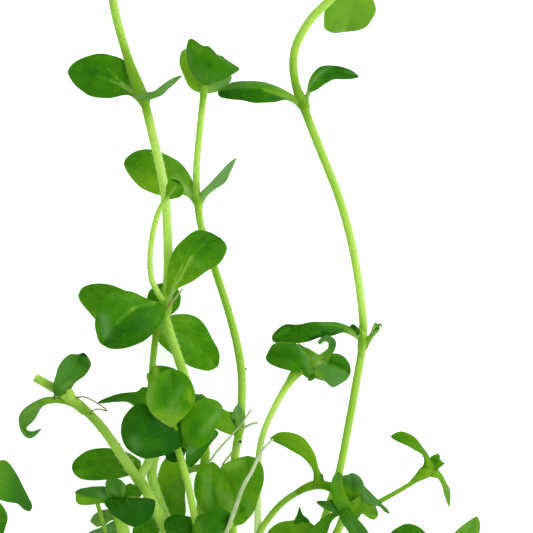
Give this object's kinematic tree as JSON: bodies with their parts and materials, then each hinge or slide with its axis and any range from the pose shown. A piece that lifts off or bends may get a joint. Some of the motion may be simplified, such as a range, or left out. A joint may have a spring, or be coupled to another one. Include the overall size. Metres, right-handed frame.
{
  "type": "bacopa plant",
  "caption": "Branching hairy-stemmed bacopa, lying as picked: soft round stems with rounded leaves in opposite pairs.",
  "frame": {"origin": "middle of the box around the plant, on the surface that it lies on", "axes": "+X to the right and +Y up the stems, towards their tips, as the plant shows when it is seen from above; +Z away from the surface"},
  "size_m": [0.1414, 0.1922, 0.0492],
  "materials": {
    "leaf": "soft, thin, slightly see-through green leaf with a dull gloss",
    "dark_leaf": "the same leaf in deeper green, where it is thicker and lies over others",
    "stem": "juicy light yellow-green stem with short hairs"
  },
  "bodies": {
    "root": {"base_stem": "stem", "stem_a": "stem", "leaf_a0_left": "leaf", "leaf_a1_left": "leaf", "leaf_a1_right": "leaf", "leaf_a2_left": "leaf", "leaf_a2_right": "leaf", "leaf_a3_left": "leaf", "stem_f": "stem", "stem_b": "stem", "leaf_b0_front": "leaf", "leaf_b0_back": "leaf", "leaf_b1_left": "leaf", "leaf_b1_right": "leaf", "leaf_b2_left": "leaf", "stem_c": "stem", "leaf_c0_front": "leaf", "leaf_c1_left": "leaf", "leaf_c1_right": "leaf", "leaf_c2_left": "leaf", "stem_d": "stem", "leaf_d_left": "leaf", "leaf_d_right": "leaf", "stem_e": "stem", "leaf_e1_top": "leaf", "leaf_e1_left": "leaf", "leaf_e2_left": "leaf", "stem_m": "stem", "leaf_m0": "leaf", "leaf_m1_left": "leaf", "leaf_m1_right": "leaf", "leaf_m2_left": "leaf", "stem_n": "stem", "stem_g": "stem", "leaf_g_left": "dark_leaf", "leaf_g_top": "leaf", "leaf_g_right": "leaf", "stem_h": "stem", "leaf_h_front": "dark_leaf", "leaf_h_left": "leaf", "stem_p": "stem", "leaf_p_left": "leaf", "leaf_p_right": "leaf", "leaf_y_right": "dark_leaf", "stem_i": "stem", "leaf_i_left": "leaf", "stem_j": "stem", "leaf_j_top": "dark_leaf", "leaf_j_front": "dark_leaf", "leaf_q": "dark_leaf", "stem_k": "stem", "leaf_k_left": "leaf", "leaf_k_right": "leaf", "stem_l": "stem", "leaf_l_upper": "leaf", "leaf_l_lower": "leaf", "stem_s": "stem", "leaf_s_left": "dark_leaf", "leaf_s_right": "leaf"}
  },
  "joints": []
}
